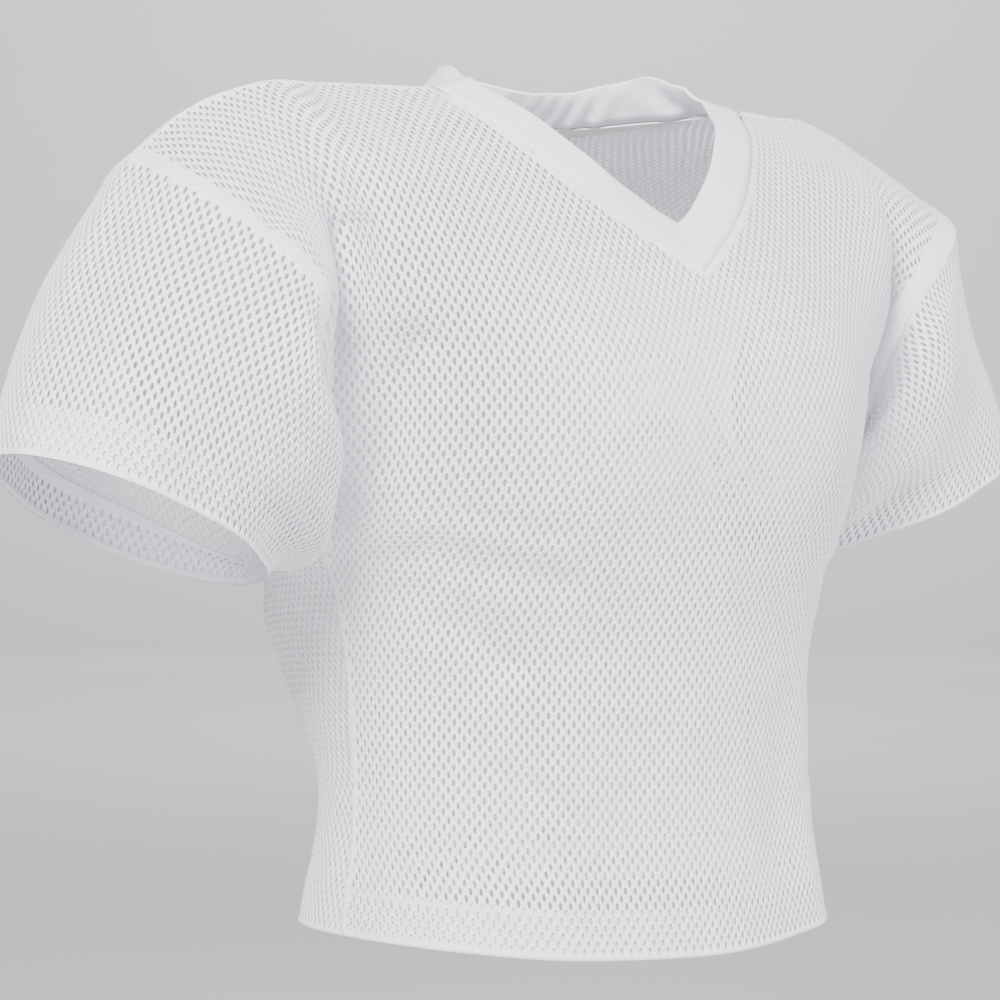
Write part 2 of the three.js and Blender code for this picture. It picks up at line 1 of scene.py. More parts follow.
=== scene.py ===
"""Football practice jersey of white porthole mesh, worn and hollow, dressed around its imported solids.

Each cut piece is drawn flat, in millimetres across its middle line and up from its hem, and then
draped on the form that its solid has. The mesh cloth is knitted flat with its holes open, so the
holes keep their real size and spacing wherever the cloth hangs.
"""

import math

import bmesh
import bpy
import numpy as np
from mathutils import Matrix, Vector


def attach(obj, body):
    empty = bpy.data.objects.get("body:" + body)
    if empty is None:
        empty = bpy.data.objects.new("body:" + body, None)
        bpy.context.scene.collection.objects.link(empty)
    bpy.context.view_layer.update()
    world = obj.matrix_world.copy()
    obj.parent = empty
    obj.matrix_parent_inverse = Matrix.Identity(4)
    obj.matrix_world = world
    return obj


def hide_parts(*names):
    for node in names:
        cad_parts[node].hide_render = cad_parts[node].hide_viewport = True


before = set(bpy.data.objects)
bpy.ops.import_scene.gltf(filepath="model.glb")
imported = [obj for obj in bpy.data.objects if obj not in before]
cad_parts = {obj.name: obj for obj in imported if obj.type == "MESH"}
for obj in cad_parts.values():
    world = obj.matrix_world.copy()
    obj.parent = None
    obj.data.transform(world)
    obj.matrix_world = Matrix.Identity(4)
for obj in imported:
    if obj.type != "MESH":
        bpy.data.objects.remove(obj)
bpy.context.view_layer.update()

MM = 0.001

# Porthole mesh: upright oval holes in courses, every other course offset by half a hole
WALE_PITCH = 6.4  # between holes along a course
COURSE_PITCH = 4.6  # between courses
HOLE_WIDTH = 2.4
HOLE_HEIGHT = 4.5
HOLE_END = 0.5  # width near a hole's ends, as a share of its width
NET_WALL = 0.65
NET_LIFT = -0.3  # outside of the cloth, from the solid's outer face
YARN_ROUNDING = 0.55  # how far the yarn rounds over into a hole
LEVEL = 0.01  # places this close lie on one line

# Hems, turned up once and held by a twin-needle coverstitch
HEM_DEPTH = 26
HEM_INNER_LIFT = -1.5  # outside of the turned-up layer
HEM_INNER_SHIFT = (2.1, 1.7)  # by which its holes miss those of the outer layer
HEM_STITCH_ROWS = (HEM_DEPTH - 2, HEM_DEPTH - 7)
HEM_FOLD_RISE = 1.6  # how far the smooth fold reaches up each layer
HEM_FOLD_WALL = 0.5
HEM_FOLD_LIFT = 0.2  # how far it stands over the outer layer
HEM_FOLD_DIP = 0.1  # and inside the turned-up one
HEM_FOLD_STEP = 6
HEM_FOLD_ROWS = 8

# Seams
ARMHOLE_STITCH_ROWS = (1.9, 8.6)  # from the seam
STRIP_WALL = 1.5
STRIP_STEP = 5
STRIP_ROWS = 6
STITCH_PITCH = 2.9
STITCH_LENGTH = 2.3
STITCH_WIDTH = 0.5
STITCH_HEIGHT = 0.3

# Neck band and tape
COLLAR_WIDTH = 30
COLLAR_WALL = 2.4
TAPE_WALL = 1.0
TAPE_WIDTH = 16
TAPE_DROP = 1.5
TAPE_REACH = 0.9
TAPE_LIFT = -2.4
TAPE_EDGE_LIFT = 0.25  # its edges lie closer to the cloth
TAPE_GRID = (80, 8)
TAPE_STEPS = 120
PIPING_RADIUS = 0.8
PIPING_DROP = 0.4
PIPING_LIFT = TAPE_LIFT - 0.3
PIPING_REACH = TAPE_REACH * 1.03
PIPING_SIDES = 8
TAPE_STITCH_ROWS = (1.3, 14.6)  # from the tape's upper edge
COLLAR_FINENESS = 125  # columns to a quarter of the band
COLLAR_QUARTER = 200  # about the length of a quarter of its seam
COLLAR_LOOK_ALONG = 0.04  # how far its slope is read along it, in quarters
COLLAR_LOOK_ACROSS = 0.05  # and across it, as a share of its width
BAND_ROWS = 13  # rows of faces across the band, once round
PUCKER_START = 0.2  # how strong puckers are at the band's seam, as a share of their rise
PUCKER_FULLNESS = 0.7


def table(columns, *rows):
    """Rows of a table as dicts with its columns' names; the first value of a row is its own name"""
    return {row[0]: dict(zip(columns, row[1:])) for row in rows}


# Camera, where the photograph was taken from: round to the wearer's right, level with the chest
VIEW_ANGLE = math.radians(42)
VIEW_DISTANCE = 2210
VIEW_HEIGHT = -194
VIEW_LENS = 122.4
SENSOR_WIDTH = 36
AXIS_PIXEL = (562, 400)  # the level line of sight, which the frame's centre is left of and below
FRAME_PIXELS = 1000


def along_view(distance, height=0):
    """A place along the camera's level line of sight, past the middle of the jersey"""
    return math.sin(VIEW_ANGLE) * distance, math.cos(VIEW_ANGLE) * distance, height


# Studio, in metres and watts
FLOOR_HALF = 12
FLOOR_Z = -0.95
BACKDROP_DISTANCE = 8
WORLD_LIGHT = 0.3
LIGHTS = table(
    ("place", "target", "size", "power"),
    ("key", (-2.6, -1.6, 1.9), (0, 0, -0.25), 1.6, 430),
    ("fill", (1.9, -2.4, 0.6), (0, 0, -0.25), 2.2, 130),
    ("backdrop", along_view(5, 2.6), along_view(BACKDROP_DISTANCE), 3, 130),
)

# Seam allowances as they are sewn down: how wide one is, how far it stands off the form, how deep its
# seam lies in it and how far it drops at its other edge
SEAMS = table(
    ("width", "lift", "groove", "drop"),
    ("armhole", 10.5, 0.1, 0.5, 0.5),
    ("plain", 1.6, -0.28, 0.12, 0.1),
    ("neck", 5.5, 0, 0, 0.35),
)

# Form of the panels, as in the part's source. Stations run from a panel's middle to its edge
STATIONS = {"centre": 0, "breast": 0.25, "corner": 0.5, "valley": 0.7, "lip": 0.85, "edge": 1}
RING_ANGLES = {"centre": 0, "breast": 33, "corner": 57, "valley": 70, "lip": 80, "edge": 90}
NECK_EDGE = STATIONS["breast"]
RINGS = table(
    ("front_z", "side_z", "back_z", "side", "front", "back", "front_power", "back_power"),
    ("hem", -536, -524, -531, 183, 153, 142, 2.1, 2.1),
    ("band", -510, -498, -505, 179, 150, 138, 2.1, 2.1),
    ("flank", -484, -474, -480, 175, 147, 134, 2.1, 2.1),
    ("waist", -441, -436, -440, 173, 145, 133, 2.1, 2.1),
    ("ribs", -392, -390, -392, 175, 146, 163, 2.0, 2.3),
    ("lower chest", -342, -342, -342, 181, 149, 183, 1.95, 2.5),
    ("underarm", -294, -288, -294, 198, 158, 187, 2.05, 2.5),
)
YOKE_COLUMNS = ("rise", "centre", "breast", "corner", "valley", "lip", "edge", "left")
FRONT_YOKE = table(
    YOKE_COLUMNS,
    ("pit", -253, -162, (105, -147), (187, -82), (215, -44), (233, -44), (247, -51, -254), (-20, 12)),
    ("chest", -212, -165, (106, -154), (194, -87), (222, -52), (245, -65), (261, -75, -212), (-34, 20)),
    ("bust", -166, -158, (106, -151), (200, -92), (226, -57), (258, -82), (277, -92, -165), (-37, 22)),
    ("notch", -128, -139, (106, -135), (211, -94), (226, -58), (255, -88), (275, -98, -131), (-26, 16)),
    ("collarbone", -92, -119, (108, -113), (216, -90), (228, -56), (268, -76), (298, -83, -103), (-14, 8)),
    ("slope", -50, -94, (114, -84), (218, -72), (238, -46), (286, -48), (326, -54, -75), (-4, 0)),
    ("ridge", -18, -64, (124, -58), (212, -34), (240, -20), (290, -18), (336, -24, -60), (-2, 0)),
)
BACK_YOKE = table(
    YOKE_COLUMNS,
    ("pit", -250, 196, (112, 189), (182, 152), (212, 112), (228, 85), (240, 50, -262), (-4, 0)),
    ("blade", -205, 194, (112, 187), (190, 153), (222, 124), (240, 104), (252, 85, -224), (-8, 0)),
    ("upper blade", -158, 186, (112, 180), (198, 149), (232, 130), (252, 118), (268, 104, -182), (-8, 0)),
    ("spine", -112, 170, (112, 165), (204, 139), (238, 124), (262, 116), (282, 108, -140), (-6, 0)),
    ("nape", -68, 146, (116, 141), (208, 119), (244, 108), (274, 100), (300, 92, -104), (-4, 0)),
    ("slope", -28, 112, (122, 104), (210, 84), (246, 74), (288, 66), (322, 60, -78), (-2, 0)),
    ("ridge", -4, 62, (128, 44), (206, 46), (243, 44), (288, 38), (334, 32, -62), (0, 0)),
)
SHOULDER = table(
    YOKE_COLUMNS,
    ("shoulder", 5, -30, (130, -28), (198, 3), (240, 9), (288, 10), (338, 5, -52), (0, 0)),
)
FALL = {"centre": 0, "breast": 0.1, "corner": 0.08, "valley": 0.12, "lip": 0.42, "edge": 1}
LEFT_PULL = {"lip": 0.7, "edge": 1}
# How strong a panel's folds are at places across it, and how far its edge pulls each place to the seam
FOLD_FADE = (0.8, 0.85, 0.925, 1), (1, 2 / 3, 1 / 3, 0)
SEAM_PULL = (0.85, 0.925, 1), (0, 0.5, 1)
SPACING_SAMPLES = (-0.7, -0.5, -0.25, 0.25, 0.5, 0.7)

NECK_V_Z, NECK_TOP_Z, NECK_STRAIGHT = -114, -2, 0.74
NECK_BACK_Y, NECK_BACK_POWER = 78, 3

# How steeply the neck band rises, in degrees, from the point of the V (0) up to the left shoulder (1),
# round the back (2) and over the right shoulder (3) to the point again (4)
COLLAR_RISE = table(
    ("quarter", "rise"),
    ("point", 0, 50),
    ("front left", 0.5, 47),
    ("below the left shoulder", 0.83, 41),
    ("left shoulder", 1, 12),
    ("behind the left shoulder", 1.17, 52),
    ("left nape", 1.33, 58),
    ("left back", 1.67, 46),
    ("beside the middle", 1.83, 41),
    ("centre back", 2, 45),
    ("right back", 2.2, 58),
    ("right nape", 2.6, 57),
    ("behind the right shoulder", 2.83, 47),
    ("right shoulder", 3, 18),
    ("below the right shoulder", 3.17, 44),
    ("front right", 3.5, 48),
    ("point again", 4, 50),
)
# Diagonal puckers where the band is pulled round the back of the neck: where one crosses the middle of
# the band, how far round it goes from the seam to the free edge, its half width and its depth
COLLAR_PUCKERS = table(
    ("at", "lean", "width", "depth"),
    ("crease, left", 1.17, 0.17, 0.028, 4.6),
    ("beside the crease, left", 1.25, 0.15, 0.03, -2.2),
    ("nape, left, 1", 1.36, -0.11, 0.024, -3.0),
    ("nape, left, 2", 1.47, -0.12, 0.024, -3.6),
    ("nape, left, 3", 1.58, -0.13, 0.026, -3.4),
    ("nape, left, 4", 1.7, -0.13, 0.028, -3.2),
    ("nape, left, 5", 1.83, -0.12, 0.03, -2.8),
    ("middle", 2.02, -0.1, 0.035, -2.6),
    ("nape, right, 1", 2.2, 0.08, 0.032, -2.4),
    ("nape, right, 2", 2.38, 0.1, 0.032, -2.8),
    ("nape, right, 3", 2.55, 0.11, 0.032, -2.2),
    ("crease, right", 2.76, -0.1, 0.035, 2.4),
)
# Peaks and dips of the band's free edge: where, half width and rise
COLLAR_PEAKS = table(
    ("at", "width", "rise"),
    ("corner behind the left shoulder", 1.07, 0.06, 5.0),
    ("top of the left crease", 1.22, 0.07, 2.2),
    ("left nape dip", 1.5, 0.2, -2.6),
    ("right nape dip", 2.4, 0.16, -1.0),
    ("top of the right crease", 2.67, 0.06, 2.4),
)
COLLAR_COLUMNS = 6  # columns to a quarter of the band in the part's source
MITRE_CHORD = 3
MITRE_FADE = 0.6

SLEEVE_RINGS = table(
    ("at", "centre", "axis", "depth"),
    ("middle", 0.5, (296, 14, -212), (82, -6, 87), 103),
    ("band", 0.88, (321, 19, -249), (91, -19, 51), 97),
    ("hem", 1, (327, 20, -266), (92.6, -22, 41.7), 95),
)
LEFT_SLEEVE = {"inward": 16, "back": 6}
SLEEVE_FOLD_START = 0.12

FOLD_COLUMNS = ("start", "end", "width", "depth")
FRONT_FOLDS = table(
    FOLD_COLUMNS,
    ("chest crease, right", (-200, -165), (-213, -268), 14, -6),
    ("chest crease, left", (196, -180), (205, -262), 15, -4),
    ("armpit, right, high", (-176, -288), (-112, -306), 13, -4.5),
    ("armpit, right, low", (-172, -312), (-132, -352), 14, -4),
    ("armpit, left, high", (172, -292), (118, -314), 14, -4),
    ("armpit, left, low", (170, -318), (140, -366), 15, -3.5),
    ("flank, right", (-152, -372), (-128, -470), 20, -3.5),
    ("flank, left", (146, -380), (158, -486), 20, -3),
    ("belly, right", (-60, -410), (-84, -505), 22, -2.5),
    ("belly, left", (72, -396), (60, -490), 24, -2.5),
    ("hem wave, right", (-104, -500), (-100, -540), 22, 3),
    ("hem wave, left", (104, -496), (112, -540), 22, 3),
)
BACK_FOLDS = table(
    FOLD_COLUMNS,
    ("blade crease, right", (-168, -190), (-150, -300), 20, -6),
    ("blade crease, left", (164, -182), (152, -290), 20, -6),
    ("armpit, right", (-176, -296), (-118, -346), 15, -5),
    ("armpit, left", (174, -300), (120, -340), 15, -4.5),
    ("small of the back, right", (-96, -330), (-72, -452), 24, -6),
    ("small of the back, left", (88, -322), (78, -444), 24, -5.5),
    ("middle", (-6, -352), (8, -470), 26, -4),
    ("flank, right", (-150, -366), (-134, -480), 20, -4),
    ("flank, left", (148, -372), (138, -470), 20, -3.5),
    ("hem wave, right", (-62, -492), (-58, -536), 24, 3.5),
    ("hem wave, left", (56, -488), (64, -536), 24, 3.5),
)
# Finer creases of the front, which the solid leaves out
FRONT_CREASES = table(
    FOLD_COLUMNS,
    ("valley, right", (-228, -92), (-226, -232), 7, -4.5),
    ("valley, left", (222, -112), (227, -222), 7, -3),
    ("beside the armpit, right", (-206, -176), (-203, -236), 6, -2.5),
    ("pull, right, high", (-166, -262), (-118, -276), 6, -1.6),
    ("pull, right, low", (-158, -330), (-116, -366), 6, -1.5),
    ("pull, left, high", (168, -268), (124, -286), 6, -1.5),
    ("pull, left, low", (160, -336), (126, -380), 6, -1.5),
    ("waist, right", (-136, -420), (-100, -446), 8, -1.4),
    ("waist, left", (128, -432), (96, -452), 8, -1.3),
)
# Between two places: degrees round the sleeve, from its underside by way of the front, and hundredths
# of its length from the armhole
SLEEVE_FOLDS = table(
    FOLD_COLUMNS,
    ("front fullness", (58, 16), (92, 22), 23, 15),
    ("front drape", (62, 40), (58, 95), 13, -4),
    ("upper front drape", (112, 30), (104, 100), 12, -3),
    ("top drape", (168, 25), (160, 90), 12, -3),
    ("back drape", (236, 20), (244, 95), 14, -4.5),
    ("lower back drape", (300, 10), (304, 80), 13, -4),
)


def curve_through(places, points, where):
    """A smooth curve through points at rising places, read at an array of places"""
    places, points, where = (np.asarray(x, float) for x in (places, points, where))
    tail = [1] * (points.ndim - 1)
    steps = np.diff(places).reshape(-1, *tail)
    slopes = np.diff(points, axis=0) / steps
    inner = (slopes[:-1] * steps[1:] + slopes[1:] * steps[:-1]) / (steps[:-1] + steps[1:])
    tangents = np.concatenate([slopes[:1], inner, slopes[-1:]])
    i = np.clip(np.searchsorted(places, where) - 1, 0, len(steps) - 1)
    step = steps[i]
    t = (where - places[i]).reshape(-1, *tail) / step
    return (
        (1 + 2 * t) * (1 - t) ** 2 * points[i]
        + t * t * (3 - 2 * t) * points[i + 1]
        + t * (1 - t) ** 2 * step * tangents[i]
        + t * t * (t - 1) * step * tangents[i + 1]
    )


def ring_half(ring, front):
    angles = np.radians(list(RING_ANGLES.values()))
    depth = -ring["front"] if front else ring["back"]
    power = 2 / ring["front_power" if front else "back_power"]
    middle_z = ring["front_z" if front else "back_z"]
    across = ring["side"] * np.sin(angles) ** power
    along = depth * np.maximum(np.cos(angles), 0) ** power
    return np.stack([across, along, middle_z + (ring["side_z"] - middle_z) * np.sin(angles) ** 2], 1)


def yoke_half(row, left):
    points = []
    for name in STATIONS:
        x, y = (0, row["centre"]) if name == "centre" else row[name][:2]
        pull = LEFT_PULL.get(name, 0) if left else 0
        z = row["rise"] + (row["edge"][2] - row["rise"]) * FALL[name]
        points.append((x + pull * row["left"][0], y + pull * row["left"][1], z))
    return np.array(points)


def full_row(right, left):
    """A row right across a panel, from its right edge (-1) to its left edge (1)"""
    return np.concatenate([right[::-1] * (-1, 1, 1), left[1:]])


ROW_SPREAD = [-x for x in reversed(STATIONS.values())] + list(STATIONS.values())[1:]


def panel_rows(front):
    rings = [full_row(ring_half(ring, front), ring_half(ring, front)) for ring in RINGS.values()]
    yoke = [*(FRONT_YOKE if front else BACK_YOKE).values(), SHOULDER["shoulder"]]
    return np.stack(rings + [full_row(yoke_half(row, False), yoke_half(row, True)) for row in yoke], 1)


def row_places(*panels):
    """Places of the rows from the hem (0) to the shoulder (1), spaced as they are on average"""
    gaps = 0
    for rows in panels:
        sampled = curve_through(ROW_SPREAD, rows, SPACING_SAMPLES)
        gaps = gaps + np.linalg.norm(np.diff(sampled, axis=1), axis=2).sum(0)
    places = np.concatenate([[0], np.cumsum(gaps)])
    return places / places[-1]


FRONT_ROWS, BACK_ROWS = panel_rows(True), panel_rows(False)
ROW_PLACES = row_places(FRONT_ROWS, BACK_ROWS)
ARMPIT = ROW_PLACES[len(RINGS) - 1]

# Fineness of the forms that the cloth is draped on
ACROSS = np.linspace(-1, 1, 481)
UP = np.linspace(0, 1, 401)
SLEEVE_ACROSS = np.linspace(-1, 1, 361)
SLEEVE_UP = np.linspace(0, 1, 161)
EDGE_SAMPLES = 200
FULL = np.linspace(-1, 1, 400)
EDGE_STEPS = 160
NECK_ROUND = np.linspace(0, 4, 481)


def fold_push(folds, across, along):
    """How far the folds push the cloth out"""
    push = np.zeros(np.broadcast(across, along).shape)
    for fold in folds.values():
        start, end = np.array(fold["start"], float), np.array(fold["end"], float)
        run = end - start
        share = ((across - start[0]) * run[0] + (along - start[1]) * run[1]) / (run @ run)
        near = np.clip(share, 0, 1)
        off = np.hypot(across - start[0] - near * run[0], along - start[1] - near * run[1])
        push += fold["depth"] * np.exp(-((off / fold["width"]) ** 2))
    return push


def read_grid(grid, row, column):
    """A grid's values between its points, at fractional rows and columns"""
    row = np.clip(row, 0, grid.shape[0] - 1)
    column = np.clip(column, 0, grid.shape[1] - 1)
    i = np.minimum(row.astype(int), grid.shape[0] - 2)
    j = np.minimum(column.astype(int), grid.shape[1] - 2)
    a, b = row - i, column - j
    if grid.ndim == 3:
        a, b = a[..., None], b[..., None]
    low = grid[i, j] * (1 - b) + grid[i, j + 1] * b
    high = grid[i + 1, j] * (1 - b) + grid[i + 1, j + 1] * b
    return low * (1 - a) + high * a


def unit(vectors):
    return vectors / np.maximum(np.linalg.norm(vectors, axis=-1, keepdims=True), 1e-12)


class Drape:
    """A cut piece of cloth and the form that it hangs in.

    u runs from -1 to 1 between its side edges and v from 0 at the hem to 1 at the top. s and t are
    millimetres on the flat cloth, across from its middle line and up from its hem.
    """

    MARGIN = 60  # millimetres past the edges over which places are still told apart
    PASSES = 10

    def __init__(self, points, core, top=None):
        self.points = points
        rows, columns = points.shape[:2]
        self.u, self.v = np.linspace(-1, 1, columns), np.linspace(0, 1, rows)
        self.top = np.ones(columns) if top is None else top
        normals = np.cross(np.gradient(points, axis=1), np.gradient(points, axis=0))
        self.facing = 1 if (normals * (points - core)).sum() > 0 else -1
        self.normals = unit(normals * self.facing)
        self.s = self.lengths(points, 1)
        self.s -= self.s[:, [columns // 2]]
        self.t = self.lengths(points, 0)
        self.half_width = np.abs(self.s).max()
        self.height = self.t.max()
        self.s_axis = np.arange(-self.half_width - self.MARGIN, self.half_width + self.MARGIN)
        self.t_axis = np.arange(-self.MARGIN, self.height + self.MARGIN)
        self.u_of_s = np.stack([self.inverse(self.s_axis, row, self.u) for row in self.s])
        self.v_of_t = np.stack([self.inverse(self.t_axis, line, self.v) for line in self.t.T], 1)

    @staticmethod
    def lengths(points, axis):
        steps = np.linalg.norm(np.diff(points, axis=axis), axis=2)
        start = np.zeros_like(steps[:, :1] if axis else steps[:1])
        return np.concatenate([start, np.cumsum(steps, axis=axis)], axis=axis)

    def inverse(self, axis, lengths, places):
        """Places at even lengths, going on past both ends at the same rate"""
        rate = (places[-1] - places[0]) / (lengths[-1] - lengths[0]) * self.MARGIN
        longer = np.concatenate([[lengths[0] - self.MARGIN], lengths, [lengths[-1] + self.MARGIN]])
        further = np.concatenate([[places[0] - rate], places, [places[-1] + rate]])
        return np.interp(axis, longer, further)

    def row(self, v):
        return np.clip(v, 0, 1) * (len(self.v) - 1)

    def column(self, u):
        return (np.clip(u, -1, 1) + 1) / 2 * (len(self.u) - 1)

    def locate(self, s, t):
        """Places (u, v) of points on the flat cloth, past the edges too"""
        s, t = np.broadcast_arrays(np.asarray(s, float), np.asarray(t, float))
        u, v = s / self.half_width, t / self.height
        for _ in range(self.PASSES):
            v = read_grid(self.v_of_t, t - self.t_axis[0], self.column(u))
            u = read_grid(self.u_of_s, self.row(v), s - self.s_axis[0])
        return u, v

    def top_at(self, u):
        return np.interp(u, self.u, self.top)

    def inside(self, s, t):
        u, v = self.locate(s, t)
        return (np.abs(u) < 1) & (v > 0) & (v < self.top_at(u))

    def flat(self, u, v):
        """Points on the flat cloth of places (u, v)"""
        row, column = self.row(v), self.column(u)
        return read_grid(self.s, row, column), read_grid(self.t, row, column)

    def at(self, u, v, lift=0.0):
        """Draped points of places (u, v), kept within the edges, and their outward normals"""
        u = np.clip(u, -1, 1)
        v = np.clip(v, 0, self.top_at(u))
        row, column = self.row(v), self.column(u)
        points, normals = read_grid(self.points, row, column), unit(read_grid(self.normals, row, column))
        return points + normals * np.asarray(lift, float)[..., None], normals

    def drape(self, s, t, lift=0.0):
        return self.at(*self.locate(s, t), lift)

    def area(self, low_u=-1, high_u=1):
        """Square metres of cloth between two lines up the piece"""
        sides = np.cross(np.diff(self.points[:-1], axis=1), np.diff(self.points[:, :-1], axis=0))
        cells = np.linalg.norm(sides, axis=2)
        u, v = self.u[:-1], self.v[:-1, None]
        return (cells * (u >= low_u) * (u < high_u) * (v < self.top[:-1])).sum() * MM**2


def neck_share(x):
    return np.abs(x) / SHOULDER["shoulder"]["breast"][0]


def neck_top(points, in_neck):
    """Place up each column of a panel where its surface passes into the neck"""
    top = np.ones(len(ACROSS))
    for column in np.flatnonzero(np.abs(ACROSS) < NECK_EDGE):
        depth = in_neck(points[:, column])
        first = len(UP) // 2 + np.argmax(depth[len(UP) // 2 :] > 0)
        before = depth[first - 1]
        top[column] = UP[first - 1] + (UP[1] - UP[0]) * before / (before - depth[first])
    return top


def over_front_neckline(points):
    share = neck_share(points[:, 0])
    curved = NECK_STRAIGHT * share + (1 - NECK_STRAIGHT) * share**3
    return points[:, 2] - (NECK_V_Z + (NECK_TOP_Z - NECK_V_Z) * curved)


def over_back_neckline(points):
    seam_y = SHOULDER["shoulder"]["breast"][1]
    curved = neck_share(points[:, 0]) ** NECK_BACK_POWER
    return NECK_BACK_Y + (seam_y - NECK_BACK_Y) * curved - points[:, 1]


def folded_panel(rows, folds):
    """A panel's form with its folds, which fade towards its seamed edges"""
    points = curve_through(ROW_PLACES, curve_through(ROW_SPREAD, rows, ACROSS).swapaxes(0, 1), UP)
    outward = points * (1, 1, 0)
    normals = unit(np.cross(np.gradient(points, axis=1), np.gradient(points, axis=0)))
    normals *= np.sign((normals * outward).sum())
    fade = np.interp(np.abs(ACROSS), *FOLD_FADE)
    push = fold_push(folds, points[..., 0], points[..., 2]) * fade
    return points + normals * push[..., None]


def match_side_seams(front, back):
    """Below the arms both panels end on the line midway between their edges"""
    move = np.interp(np.abs(ACROSS), *SEAM_PULL)
    below = UP < ARMPIT
    for edge, half in ((0, ACROSS < 0), (-1, ACROSS > 0)):
        middle = (front[:, edge] + back[:, edge]) / 2
        for panel in (front, back):
            step = (middle - panel[:, edge])[:, None] * (move * half)[None, :, None]
            panel[below] += step[below]


front_points = folded_panel(FRONT_ROWS, {**FRONT_FOLDS, **FRONT_CREASES})
back_points = folded_panel(BACK_ROWS, BACK_FOLDS)
match_side_seams(front_points, back_points)
SPINE = np.array((0.0, 0.0, -300.0))
front = Drape(front_points, SPINE, neck_top(front_points, over_front_neckline))
back = Drape(back_points, SPINE, neck_top(back_points, over_back_neckline))


def along_edge(drape, hand, shares):
    """Points at even shares of a panel's armhole edge, from the armpit up"""
    edge = drape.at(np.full(EDGE_SAMPLES, hand), np.linspace(ARMPIT, 1, EDGE_SAMPLES))[0]
    lengths = np.concatenate([[0], np.cumsum(np.linalg.norm(np.diff(edge, axis=0), axis=1))])
    return np.stack([np.interp(shares * lengths[-1], lengths, edge[:, k]) for k in range(3)], 1)


def sleeve_drape(hand):
    """The sleeve's middle line is its outer top, and its edges meet along the underarm seam"""
    armhole = np.concatenate([
        along_edge(front, hand, 1 + SLEEVE_ACROSS[SLEEVE_ACROSS < 0]),
        along_edge(back, hand, 1 - SLEEVE_ACROSS[SLEEVE_ACROSS >= 0]),
    ])
    angles = np.pi * SLEEVE_ACROSS
    inward, backward = (LEFT_SLEEVE["inward"], LEFT_SLEEVE["back"]) if hand > 0 else (0, 0)
    rings = [armhole]
    for ring in SLEEVE_RINGS.values():
        along, across = np.cos(angles)[:, None], np.sin(angles)[:, None]
        centre = np.array(ring["centre"]) + (-inward, backward, 0)
        points = centre + np.array(ring["axis"]) * along + np.array((0, ring["depth"], 0)) * across
        rings.append(points * (hand, 1, 1))
    places = [0] + [ring["at"] for ring in SLEEVE_RINGS.values()]
    share = 1 - SLEEVE_UP
    points = curve_through(places, rings, share)
    core = points.mean(1, keepdims=True)
    normals = unit(np.cross(np.gradient(points, axis=1), np.gradient(points, axis=0)))
    normals *= np.sign((normals * (points - core)).sum())
    round_sleeve = np.degrees(angles) + 180
    push = fold_push(SLEEVE_FOLDS, round_sleeve[None, :], 100 * share[:, None])
    push *= np.minimum(share / SLEEVE_FOLD_START, 1)[:, None]
    return Drape(points + normals * push[..., None], core)


sleeves = {"right": sleeve_drape(-1), "left": sleeve_drape(1)}


def linear_colour(hex_colour):
    """An sRGB hex value as linear red, green, blue and alpha"""
    values = [int(hex_colour[i : i + 2], 16) / 255 for i in (1, 3, 5)]
    return *[v / 12.92 if v <= 0.04045 else ((v + 0.055) / 1.055) ** 2.4 for v in values], 1.0


def add_node(tree, kind, inputs=None, **settings):
    """A node with its settings; each input is a value or another node's output socket"""
    node = tree.nodes.new(kind)
    for name, value in settings.items():
        setattr(node, name, value)
    for name, value in (inputs or {}).items():
        if isinstance(value, bpy.types.NodeSocket):
            tree.links.new(value, node.inputs[name])
        else:
            node.inputs[name].default_value = value
    return node


def new_material(name):
    material = bpy.data.materials.new(name)
    material.use_nodes = True
    material.node_tree.nodes.clear()
    return material, material.node_tree


MOTTLE_SCALE = 9  # cloudy patches about 110 mm apart
YARN_SCALE = 900  # uneven places in the yarn about 1.1 mm apart
YARN_RELIEF = 0.25 * MM


def wave_scale(period):
    """Scale at which a Wave Texture repeats after a period in metres"""
    return math.pi / (10 * period)


